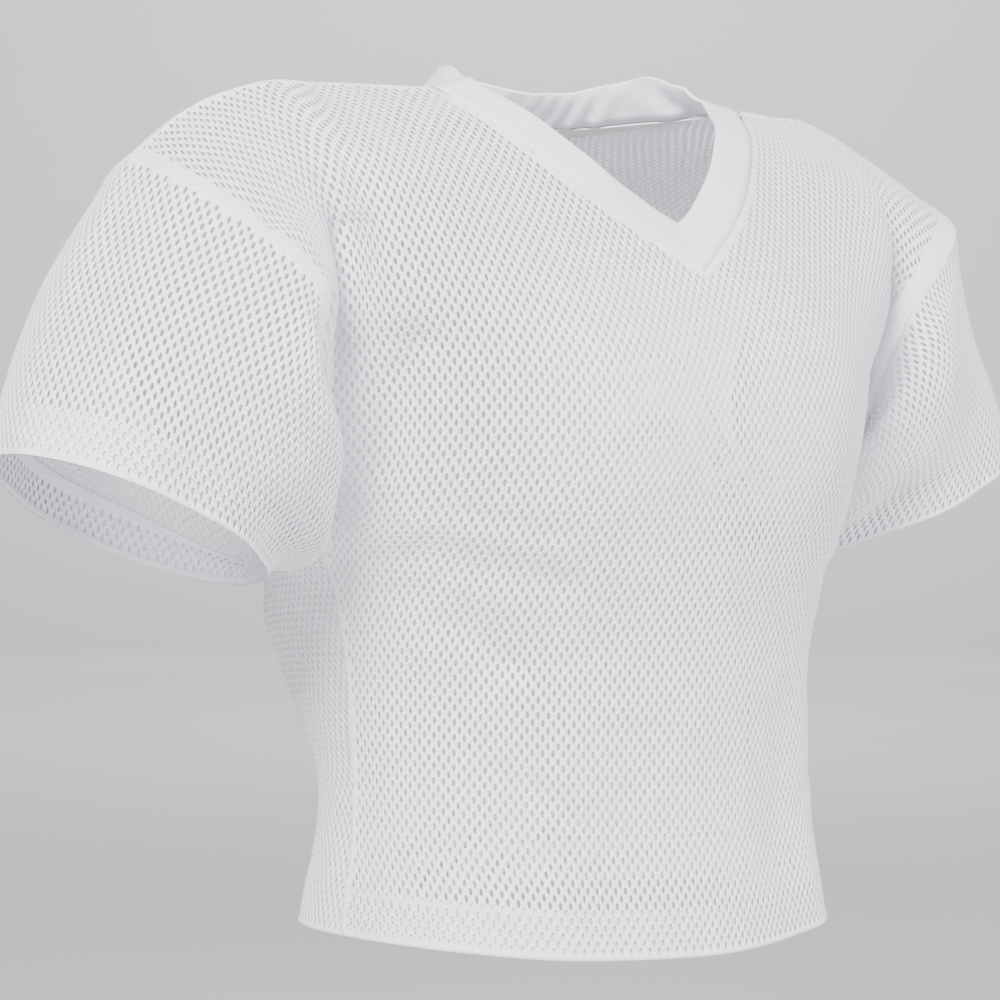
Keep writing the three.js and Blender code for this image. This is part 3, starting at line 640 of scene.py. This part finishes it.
def knit_material(name, light, shade, wale, course, roughness, sheen, bump):
    """Knitted cloth: stitches in wales and courses, with painted shade between the stitches, and a faint
    mottle from uneven yarn
    """
    material, tree = new_material(name)
    grain = add_node(tree, "ShaderNodeUVMap", uv_map="Grain").outputs["UV"]
    place = add_node(tree, "ShaderNodeTexCoord").outputs["Object"]
    wales, courses = (
        add_node(
            tree, "ShaderNodeTexWave", {"Vector": grain, "Scale": wave_scale(period),
            "Distortion": 0.6, "Detail": 1.0, "Detail Scale": 2.0}, bands_direction=axis)
        for axis, period in (("X", wale), ("Y", course))
    )
    stitches = add_node(
        tree, "ShaderNodeMath", {0: wales.outputs["Fac"], 1: courses.outputs["Fac"]}, operation="MULTIPLY")
    mottle = add_node(tree, "ShaderNodeTexNoise", {"Vector": place, "Scale": MOTTLE_SCALE, "Detail": 4.0})
    yarn = add_node(tree, "ShaderNodeTexNoise", {"Vector": place, "Scale": YARN_SCALE, "Detail": 2.0})
    # Colour from shade to light: painted shade where the stitch pattern is low, between the stitches, plus
    # the uneven yarn's faint mottle
    stitch_shade_and_mottle = add_node(
        tree, "ShaderNodeMath", {0: stitches.outputs[0], 1: 0.35, 2: mottle.outputs["Fac"]},
        operation="MULTIPLY_ADD")
    colour = add_node(tree, "ShaderNodeValToRGB", {"Fac": stitch_shade_and_mottle.outputs[0]})
    colour.color_ramp.elements[0].position, colour.color_ramp.elements[0].color = 0.3, linear_colour(shade)
    colour.color_ramp.elements[1].position, colour.color_ramp.elements[1].color = 0.8, linear_colour(light)
    relief = add_node(
        tree, "ShaderNodeMath", {0: yarn.outputs["Fac"], 1: 0.4, 2: stitches.outputs[0]},
        operation="MULTIPLY_ADD")
    raised = add_node(
        tree, "ShaderNodeBump", {"Height": relief.outputs[0], "Strength": bump, "Distance": YARN_RELIEF})
    shader = add_node(
        tree, "ShaderNodeBsdfPrincipled",
        {"Base Color": colour.outputs["Color"], "Roughness": roughness, "Normal": raised.outputs["Normal"],
         "IOR": 1.53, "Sheen Weight": sheen, "Sheen Roughness": 0.45})
    add_node(tree, "ShaderNodeOutputMaterial", {"Surface": shader.outputs["BSDF"]})
    return material


# Each knit's two colours: its light colour, and a darker one that is painted shade between the stitches
# and the darker patches of its mottle
# Polyester porthole mesh, warp knitted from bright filament: white with a breath of lavender and a
# soft sheen. Its stitches are 0.8 mm apart
porthole_mesh = knit_material(
    "polyester_porthole_mesh", "#E9E4ED", "#DDD8E2", 0.8 * MM, 0.8 * MM, 0.6, 0.15, 0.35)
# Plain polyester interlock, knitted fine and pressed flat: smoother and a touch brighter
interlock = knit_material(
    "polyester_interlock", "#EBE7EF", "#E3DEE7", 0.7 * MM, 0.9 * MM, 0.55, 0.12, 0.2)
# Narrow woven cotton-mix tape, slightly greyer than the knit
neck_tape_weave = knit_material(
    "woven_neck_tape", "#DCDFD9", "#C6CAC3", 0.9 * MM, 0.6 * MM, 0.75, 0.05, 0.5)
# Spun polyester sewing thread: small bright stitches
sewing_thread = knit_material(
    "spun_polyester_thread", "#F6F4F8", "#EAE8EE", 0.4 * MM, 0.4 * MM, 0.5, 0.2, 0.3)


def finish_mesh(name, bm, material, grain=None):
    """An object from a bmesh in metres; grain gives each vertex its place on the flat cloth"""
    mesh = bpy.data.meshes.new(name)
    bm.to_mesh(mesh)
    bm.free()
    piece = bpy.data.objects.new(name, mesh)
    bpy.context.scene.collection.objects.link(piece)
    mesh.materials.append(material)
    mesh.shade_smooth()
    if grain is not None:
        corners = np.zeros(len(mesh.loops), int)
        mesh.loops.foreach_get("vertex_index", corners)
        layer = mesh.uv_layers.new(name="Grain")
        layer.data.foreach_set("uv", (grain[corners] * MM).astype(np.float32).ravel())
    return piece


def thicken(piece, wall):
    """Gives a draped layer its wall, inwards, for good"""
    solid = piece.modifiers.new("wall", "SOLIDIFY")
    solid.thickness = wall * MM
    solid.offset = -1
    solid.use_even_offset = False
    solid.use_rim = True
    graph = bpy.context.evaluated_depsgraph_get()
    thick = bpy.data.meshes.new_from_object(piece.evaluated_get(graph), depsgraph=graph)
    piece.modifiers.clear()
    thin, piece.data = piece.data, thick
    thick.name = piece.name
    bpy.data.meshes.remove(thin)
    return piece


def net(name, drape, side=0, reach=None, lift=NET_LIFT, shift=(0, 0)):
    """Porthole mesh knitted flat over a piece, or the half of it on one side, up to reach, and
    draped. A lattice of triangles has a hole cut at each of its corners"""
    reach = reach or drape.height
    columns = 2 * math.ceil(drape.half_width / WALE_PITCH) + 2
    rows = math.ceil(reach / COURSE_PITCH) + 2
    start = np.array((-columns / 2 * WALE_PITCH + shift[0], -COURSE_PITCH + shift[1]))
    bm = bmesh.new()
    bmesh.ops.create_grid(bm, x_segments=columns, y_segments=rows, size=1)
    for v in bm.verts:
        course = round((v.co.y + 1) / 2 * rows)
        v.co.x = start[0] + (round((v.co.x + 1) / 2 * columns) + course % 2 / 2) * WALE_PITCH
        v.co.y = start[1] + course * COURSE_PITCH
    bmesh.ops.triangulate(bm, faces=bm.faces[:], quad_method="SHORT_EDGE")
    s, t = np.array([v.co.xy for v in bm.verts]).T
    within = drape.inside(s, t) & (t < reach)
    spare = [f for f in bm.faces if not any(within[v.index] for v in f.verts)]
    clear = within.copy()
    for ds, dt in ((HOLE_WIDTH, 0), (-HOLE_WIDTH, 0), (0, HOLE_HEIGHT), (0, -HOLE_HEIGHT)):
        clear &= drape.inside(s + ds / 2, t + dt / 2) & (t + dt / 2 < reach)
    holes = [v for v in bm.verts if clear[v.index]]
    bmesh.ops.delete(bm, geom=spare, context="FACES")
    cut = bmesh.ops.bevel(
        bm, geom=holes, affect="VERTICES", offset=HOLE_WIDTH / 3, offset_type="OFFSET", segments=1,
        profile=0.5, material=-1, clamp_overlap=False)
    bmesh.ops.delete(bm, geom=cut["faces"], context="FACES_ONLY")
    if side:
        other = [f for f in bm.faces if (f.calc_center_median().x > -LEVEL) != (side > 0)]
        bmesh.ops.delete(bm, geom=other, context="FACES")
    if drape.facing < 0:
        bmesh.ops.reverse_faces(bm, faces=bm.faces[:])
    flat = np.array([v.co.xy for v in bm.verts])
    course = np.round((flat[:, 1] - start[1]) / COURSE_PITCH)
    offset = start[0] + course % 2 / 2 * WALE_PITCH
    wale = np.round((flat[:, 0] - offset) / WALE_PITCH)
    centre = np.stack([offset + wale * WALE_PITCH, start[1] + course * COURSE_PITCH], 1)
    arm = flat - centre
    level = np.abs(arm[:, 1]) < LEVEL
    width = np.where(level, HOLE_WIDTH / 2, HOLE_WIDTH / 2 * HOLE_END)
    oval = np.sign(np.round(arm, 3)) * np.stack([width, np.full(len(arm), HOLE_HEIGHT / 2)], 1)
    flat = centre + oval
    points, normals = drape.drape(flat[:, 0], flat[:, 1], np.full(len(flat), lift))
    middles = drape.drape(centre[:, 0], centre[:, 1], np.full(len(flat), lift))[0]
    for v, point in zip(bm.verts, points * MM):
        v.co = point
    piece = thicken(finish_mesh(name, bm, porthole_mesh, flat), NET_WALL)
    round_over = unit(middles - points) * YARN_ROUNDING * np.any(oval, axis=1)[:, None]
    shading = np.concatenate([unit(normals + round_over), unit(round_over - normals)])
    piece.data.normals_split_custom_set_from_vertices(shading.astype(np.float32))
    return piece


def ribbon(name, material, columns, rows, place, wall=None):
    """A strip of cloth: place turns arrays of shares along and across it, from 0 to 1, into draped
    points, outward normals and places on the flat cloth"""
    bm = bmesh.new()
    bmesh.ops.create_grid(bm, x_segments=columns, y_segments=rows, size=1)
    shares = (np.array([v.co.xy for v in bm.verts]) + 1) / 2
    points, normals, grain = place(shares[:, 0], shares[:, 1])
    for v, point in zip(bm.verts, points * MM):
        v.co = point
    bm.normal_update()
    outward = sum(f.normal.dot(Vector(normals[f.verts[0].index])) for f in bm.faces)
    if outward < 0:
        bmesh.ops.reverse_faces(bm, faces=bm.faces[:])
    piece = finish_mesh(name, bm, material, grain)
    return thicken(piece, wall) if wall else piece


def run_beside(path, inward):
    """Unit directions beside a path on the flat cloth, on the side that inward points to"""
    run = unit(np.gradient(path, axis=0))
    beside = np.stack([-run[:, 1], run[:, 0]], 1)
    return beside * np.sign((beside @ np.array(inward, float)).sum())


def line_beside(drape, path, inward, distance, lift):
    """Draped points and normals of a line beside a path on the flat cloth"""
    flat = path + run_beside(path, inward) * distance
    return drape.drape(flat[:, 0], flat[:, 1], np.full(len(flat), lift))


def path_length(path):
    return np.linalg.norm(np.diff(path, axis=0), axis=1).sum()


def seam_strip(kind, drape, path, inward):
    """The folded seam allowance along an edge, sewn down flat with its edges rounded over"""
    seam = SEAMS[kind]
    width = seam["width"]
    shares = np.linspace(0, 1, len(path))
    beside = run_beside(path, inward)
    length = path_length(path)

    def place(x, y):
        share = 0.5 - 0.5 * np.cos(np.pi * y)
        line = np.stack([np.interp(x, shares, path[:, k]) for k in (0, 1)], 1)
        turn = np.stack([np.interp(x, shares, beside[:, k]) for k in (0, 1)], 1)
        flat = line + turn * (share * width)[:, None]
        lift = seam["lift"] - seam["groove"] * (1 - share) ** 8 - seam["drop"] * share**8
        points, normals = drape.drape(flat[:, 0], flat[:, 1], lift)
        return points, normals, np.stack([share * width, x * length], 1)

    return ribbon(kind, interlock, round(length / STRIP_STEP), STRIP_ROWS, place, STRIP_WALL)


def joined(name, pieces, material):
    """One object from several, which share a material"""
    bm = bmesh.new()
    for piece in pieces:
        bm.from_mesh(piece.data)
        bpy.data.meshes.remove(piece.data)
    return finish_mesh(name, bm, material)


def frame_at(middle, axes):
    """A matrix in metres with these axes, at a point"""
    place = Matrix.Identity(4)
    for k, axis in enumerate(axes):
        place.col[k][:3] = axis * MM
    place.translation = middle * MM
    return place


def stitch_row(bm, points, normals):
    """Stitches along a draped line, each a small spindle of thread that dips in at both ends"""
    lengths = np.concatenate([[0], np.cumsum(np.linalg.norm(np.diff(points, axis=0), axis=1))])
    starts = np.arange(STITCH_PITCH / 2, lengths[-1] - STITCH_LENGTH, STITCH_PITCH)

    def read(where, values):
        return np.stack([np.interp(where, lengths, values[:, k]) for k in range(3)], 1)

    middles, outs = read(starts + STITCH_LENGTH / 2, points), unit(read(starts, normals))
    runs = unit(read(starts + STITCH_LENGTH, points) - read(starts, points))
    sides = np.cross(outs, runs)
    for middle, run, side, out in zip(middles, runs, sides, outs):
        axes = (run * STITCH_LENGTH / 2, side * STITCH_WIDTH / 2, out * STITCH_HEIGHT)
        bmesh.ops.create_icosphere(bm, subdivisions=1, radius=1, matrix=frame_at(middle, axes))


def sewn(name, rows):
    bm = bmesh.new()
    for points, normals in rows:
        stitch_row(bm, points, normals)
    return finish_mesh(name, bm, sewing_thread)


def hem_fold(name, drape):
    """The turned edge of a hem, from its outer layer round to the inner one"""
    outer, inner = NET_LIFT + HEM_FOLD_LIFT, HEM_INNER_LIFT - NET_WALL - HEM_FOLD_DIP
    middle, radius = (outer + inner) / 2, (outer - inner) / 2

    def place(x, y):
        angle = np.pi * np.clip(y * 2 - 0.5, 0, 1)
        up = radius - radius * np.sin(angle) + HEM_FOLD_RISE * np.maximum(np.abs(2 * y - 1) - 0.5, 0) * 2
        u = 2 * x - 1
        s = read_grid(drape.s, np.zeros(len(x)), drape.column(u))
        v = up / drape.height
        points, normals = drape.at(u, v, middle + radius * np.cos(angle))
        return points, normals, np.stack([s, up], 1)

    columns = round(2 * drape.half_width / HEM_FOLD_STEP)
    return ribbon(name, porthole_mesh, columns, HEM_FOLD_ROWS, place, HEM_FOLD_WALL)


def edge_path(drape, hand, low=0, high=1):
    """Flat line up a side edge of a piece, between two shares of its height"""
    return np.stack(drape.flat(np.full(EDGE_STEPS, hand), np.linspace(low, high, EDGE_STEPS)), 1)


def shoulder_path(drape, hand):
    places = hand * np.linspace(NECK_EDGE, 1, EDGE_STEPS)
    return np.stack(drape.flat(places, np.ones(EDGE_STEPS)), 1)


def neck_path(drape):
    places = NECK_EDGE * FULL
    return np.stack(drape.flat(places, drape.top_at(places)), 1)


def sleeve_top_path(drape):
    return np.stack(drape.flat(FULL, np.ones(len(FULL))), 1)


def hem_line(drape, height):
    """Draped points and normals of a line round a piece, at a height above its hem"""
    s, _ = drape.flat(FULL, np.zeros(len(FULL)))
    return drape.drape(s, np.full(len(FULL), height), np.full(len(FULL), NET_LIFT))


HANDS = {"right": -1, "left": 1}
sheets = []

for panel_name, panel in (("front", front), ("back", back)):
    strips, rows = [seam_strip("neck", panel, neck_path(panel), (0, -1))], []
    for side, hand in HANDS.items():
        inward = (-hand, 0)
        armhole = edge_path(panel, hand, ARMPIT)
        strips += [
            seam_strip("plain", panel, edge_path(panel, hand, 0, ARMPIT), inward),
            seam_strip("armhole", panel, armhole, inward),
            seam_strip("plain", panel, shoulder_path(panel, hand), (0, -1)),
        ]
        rows += [
            line_beside(panel, armhole, inward, distance, SEAMS["armhole"]["lift"])
            for distance in ARMHOLE_STITCH_ROWS
        ]
    rows += [hem_line(panel, height) for height in HEM_STITCH_ROWS]
    seams = joined(panel_name + "_seams", strips, interlock)
    stitches = sewn(panel_name + "_stitches", rows)
    facing = net(panel_name + "_hem_facing", panel, 0, HEM_DEPTH, HEM_INNER_LIFT, HEM_INNER_SHIFT)
    fold = hem_fold(panel_name + "_hem_fold", panel)
    for side, hand in HANDS.items():
        half = net(f"{panel_name}_mesh_{side}", panel, hand)
        low_u, high_u = (-1, 0) if hand < 0 else (0, 1)
        sewn_on = [seams, stitches, facing, fold] if side == "right" else []
        flat = (panel.half_width, panel.height)
        sheets.append((half, panel_name, flat, panel.area(low_u, high_u), sewn_on))

for side, drape in sleeves.items():
    strips = [
        seam_strip("plain", drape, edge_path(drape, hand), (-hand, 0)) for hand in HANDS.values()
    ]
    strips.append(seam_strip("plain", drape, sleeve_top_path(drape), (0, -1)))
    seams = joined(f"sleeve_{side}_seams", strips, interlock)
    stitches = sewn(f"sleeve_{side}_stitches", [hem_line(drape, height) for height in HEM_STITCH_ROWS])
    facing = net(f"sleeve_{side}_hem_facing", drape, 0, HEM_DEPTH, HEM_INNER_LIFT, HEM_INNER_SHIFT)
    fold = hem_fold(f"sleeve_{side}_hem_fold", drape)
    whole = net(f"sleeve_mesh_{side}", drape)
    flat = (2 * drape.half_width, drape.height)
    sheets.append((whole, "sleeve_" + side, flat, drape.area(), [seams, stitches, facing, fold]))


def neck_seam(quarters):
    """Points of the neckline at quarters round it, each one's share of the way from the panel's middle
    to the shoulder seam, and its side. Quarters run from the point of the V up the left side (0 to 1),
    round the back (1 to 3) and down the right side (3 to 4)"""
    quarters = np.asarray(quarters, float)
    share = 1 - np.abs(quarters % 2 - 1)
    hand = np.where(quarters <= 2, 1, -1)
    in_back = (quarters > 1) & (quarters < 3)
    tops = [drape.at(hand * NECK_EDGE * share, np.ones_like(share))[0] for drape in (back, front)]
    return np.where(in_back[:, None], *tops), np.where(in_back, 2 - share, share), hand


def collar_reaches():
    """Vectors from the neckline to the band's free edge, at its columns, as in the part's source"""
    count = 4 * COLLAR_COLUMNS
    quarters = np.arange(count) / COLLAR_COLUMNS
    points, at, hand = neck_seam(quarters)
    rise_places, rises = zip(*[row.values() for row in COLLAR_RISE.values()])
    rises = np.radians(curve_through(rise_places, rises, quarters))

    def reach_of(along, rise):
        inward = unit(np.array((-along[1], along[0], 0))) * math.cos(rise)
        reach = inward + np.array((0, 0, math.sin(rise)))
        return unit(reach - along * (reach @ along)) * COLLAR_WIDTH

    start = unit(points[MITRE_CHORD] - points[0])
    slide = -reach_of(start, rises[0])[0] / start[0]
    reaches = []
    for i in range(count):
        along = unit(points[(i + 1) % count] - points[i - 1]) if i else start
        mitre = slide * hand[i] * max(1 - at[i] / MITRE_FADE, 0)
        reaches.append(reach_of(along, rises[i]) + along * mitre)
    return np.array(reaches + reaches[:1])


REACHES = collar_reaches()
REACH_PLACES = np.arange(len(REACHES)) / COLLAR_COLUMNS


def collar_surface(quarters, share):
    """The neck band's outer face: share runs from its seam (0) to its free edge (1)"""
    points = neck_seam(quarters)[0]
    reach = curve_through(REACH_PLACES, REACHES, quarters)
    pucker = np.zeros(len(quarters))
    for fold in COLLAR_PUCKERS.values():
        along = fold["at"] + fold["lean"] * (share - 0.5)
        rise = PUCKER_START + (1 - PUCKER_START) * share
        strength = np.maximum(np.sin(np.pi * rise), 0) ** PUCKER_FULLNESS
        pucker += fold["depth"] * strength * np.exp(-(((quarters - along) / fold["width"]) ** 2))
    points = points + reach * share[:, None]
    for peak in COLLAR_PEAKS.values():
        near = np.maximum(1 - np.abs(quarters - peak["at"]) / peak["width"], 0)
        points[:, 2] += peak["rise"] * near * share**2
    return points, pucker


def band_section(y):
    """Across the folded band, once round: the share of its width and the depth below its outer face"""
    turn = COLLAR_WALL / 2 / COLLAR_WIDTH
    outer = [0, 0.2, 0.45, 0.7, 1 - turn, 1 - 0.3 * turn]
    shares = [*outer, 1, *reversed(outer), 0]
    depths = [0] * 5 + [0.15, 0.5, 0.85] + [1] * 5 + [0]
    places = np.linspace(0, 1, BAND_ROWS + 1)
    return np.interp(y, places, shares), np.interp(y, places, depths) * COLLAR_WALL


def neck_band():
    def place(x, y):
        quarters = x * 4
        share, depth = band_section(y)
        centre, pucker = collar_surface(quarters, share)
        ahead = collar_surface(np.minimum(quarters + COLLAR_LOOK_ALONG, 4), share)[0]
        behind = collar_surface(np.maximum(quarters - COLLAR_LOOK_ALONG, 0), share)[0]
        upper = collar_surface(quarters, np.minimum(share + COLLAR_LOOK_ACROSS, 1))[0]
        lower = collar_surface(quarters, np.maximum(share - COLLAR_LOOK_ACROSS, 0))[0]
        run = ahead - behind
        run[(quarters < COLLAR_LOOK_ALONG) | (quarters > 4 - COLLAR_LOOK_ALONG)] = (1, 0, 0)
        normals = unit(np.cross(run, upper - lower))
        points = centre + normals * (pucker - depth)[:, None]
        return points, normals, np.stack([quarters * COLLAR_QUARTER, share * COLLAR_WIDTH], 1)

    piece = ribbon("neck_band", interlock, 4 * COLLAR_FINENESS, BAND_ROWS, place)
    bm = bmesh.new()
    bm.from_mesh(piece.data)
    bmesh.ops.remove_doubles(bm, verts=bm.verts, dist=1e-6)
    bmesh.ops.recalc_face_normals(bm, faces=bm.faces)
    bm.to_mesh(piece.data)
    bm.free()
    return piece


def back_neck_line(drop, lift, reach=TAPE_REACH):
    """Draped points and normals on the inside of the back, a drop below its neckline"""
    u = np.linspace(-1, 1, TAPE_STEPS) * NECK_EDGE * reach
    s, t = back.flat(u, back.top_at(u))
    return back.drape(s, t - drop, np.full(TAPE_STEPS, lift))


def neck_tape():
    def place(x, y):
        u = (2 * x - 1) * NECK_EDGE * TAPE_REACH
        s, t = back.flat(u, back.top_at(u))
        drop = TAPE_DROP + y * TAPE_WIDTH
        lift = TAPE_LIFT + TAPE_EDGE_LIFT * np.abs(2 * y - 1) ** 6
        points, normals = back.drape(s, t - drop, lift)
        return points, normals, np.stack([s, drop], 1)

    return ribbon("neck_tape_strip", neck_tape_weave, *TAPE_GRID, place, TAPE_WALL)


def piping():
    """The neck seam's allowance shows inside the back as a thin roll over the tape's edge"""
    points, normals = back_neck_line(PIPING_DROP, PIPING_LIFT, PIPING_REACH)
    bm = bmesh.new()
    runs = unit(np.gradient(points, axis=0))
    ring = None
    for point, run, out in zip(points, runs, normals):
        place = frame_at(point, [axis * PIPING_RADIUS for axis in (np.cross(run, out), out, run)])
        made = bmesh.ops.create_circle(bm, segments=PIPING_SIDES, radius=1, matrix=place)["verts"]
        edges = list({e for v in made for e in v.link_edges})
        if ring:
            bmesh.ops.bridge_loops(bm, edges=ring + edges)
        ring = edges
    bmesh.ops.holes_fill(bm, edges=[e for e in bm.edges if e.is_boundary], sides=PIPING_SIDES)
    bmesh.ops.recalc_face_normals(bm, faces=bm.faces)
    return finish_mesh("neck_piping", bm, interlock)


band = neck_band()
tape = neck_tape()
roll = piping()
tape_stitches = sewn(
    "neck_tape_stitches",
    [back_neck_line(TAPE_DROP + drop, TAPE_LIFT - TAPE_WALL) for drop in TAPE_STITCH_ROWS])

for piece, node, flat, area, sewn_on in sheets:
    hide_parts(node)
    for each in (piece, *sewn_on):
        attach(each, "root")

neck_round = path_length(neck_seam(NECK_ROUND)[0])
tape_run = path_length(back_neck_line(TAPE_DROP, TAPE_LIFT)[0])
for piece, node, width, length, held, sewn_on in (
    (band, "collar", COLLAR_WIDTH, neck_round, "folded", [roll]),
    (tape, "neck_tape", TAPE_WIDTH, tape_run, "draped", [tape_stitches]),
):
    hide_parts(node)
    for each in (piece, *sewn_on):
        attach(each, "root")


def place_camera():
    across = Vector((math.cos(VIEW_ANGLE), -math.sin(VIEW_ANGLE), 0))
    towards = Vector(along_view(1))
    focal_pixels = VIEW_LENS / SENSOR_WIDTH * FRAME_PIXELS
    off_axis = [FRAME_PIXELS / 2 - pixel for pixel in AXIS_PIXEL]
    aim = towards * focal_pixels + across * off_axis[0] - Vector((0, 0, off_axis[1]))
    lens = bpy.data.cameras.new("camera")
    lens.lens, lens.sensor_width = VIEW_LENS, SENSOR_WIDTH
    camera = bpy.data.objects.new("camera", lens)
    camera.location = (-towards * VIEW_DISTANCE + Vector((0, 0, VIEW_HEIGHT))) * MM
    camera.rotation_euler = aim.to_track_quat("-Z", "Y").to_euler()
    bpy.context.scene.collection.objects.link(camera)
    bpy.context.scene.camera = camera


def soft_light(name, place, target, size, power):
    lamp = bpy.data.lights.new(name, "AREA")
    lamp.shape, lamp.size, lamp.energy = "DISK", size, power
    light = bpy.data.objects.new(name, lamp)
    light.location = place
    light.rotation_euler = (Vector(target) - Vector(place)).to_track_quat("-Z", "Y").to_euler()
    bpy.context.scene.collection.objects.link(light)


def studio():
    # Painted studio floor that runs up into a backdrop: matt white, faintly uneven
    material, tree = new_material("painted_floor")
    place = add_node(tree, "ShaderNodeTexCoord").outputs["Object"]
    stain = add_node(tree, "ShaderNodeTexNoise", {"Vector": place, "Scale": 1.5, "Detail": 3.0})
    colour = add_node(tree, "ShaderNodeValToRGB", {"Fac": stain.outputs["Fac"]})
    colour.color_ramp.elements[0].color = linear_colour("#E2E2E2")
    colour.color_ramp.elements[1].color = linear_colour("#E6E6E6")
    shader = add_node(
        tree, "ShaderNodeBsdfPrincipled", {"Base Color": colour.outputs["Color"], "Roughness": 0.9})
    add_node(tree, "ShaderNodeOutputMaterial", {"Surface": shader.outputs["BSDF"]})
    bm = bmesh.new()
    bmesh.ops.create_grid(bm, x_segments=8, y_segments=2 * FLOOR_HALF, size=FLOOR_HALF)
    for v in bm.verts:
        rise = max(v.co.y - BACKDROP_DISTANCE, 0)
        v.co.y, v.co.z = v.co.y - rise, FLOOR_Z + rise
    bmesh.ops.rotate(bm, verts=bm.verts, cent=(0, 0, 0), matrix=Matrix.Rotation(-VIEW_ANGLE, 3, "Z"))
    floor = finish_mesh("floor", bm, material)
    world = bpy.data.worlds.new("white_room")
    world.use_nodes = True
    world.node_tree.nodes.clear()
    white = {"Color": linear_colour("#FFFFFF"), "Strength": WORLD_LIGHT}
    sky = add_node(world.node_tree, "ShaderNodeBackground", white)
    add_node(world.node_tree, "ShaderNodeOutputWorld", {"Surface": sky.outputs["Background"]})
    bpy.context.scene.world = world
    for name, light in LIGHTS.items():
        soft_light(name, **light)


place_camera()
studio()
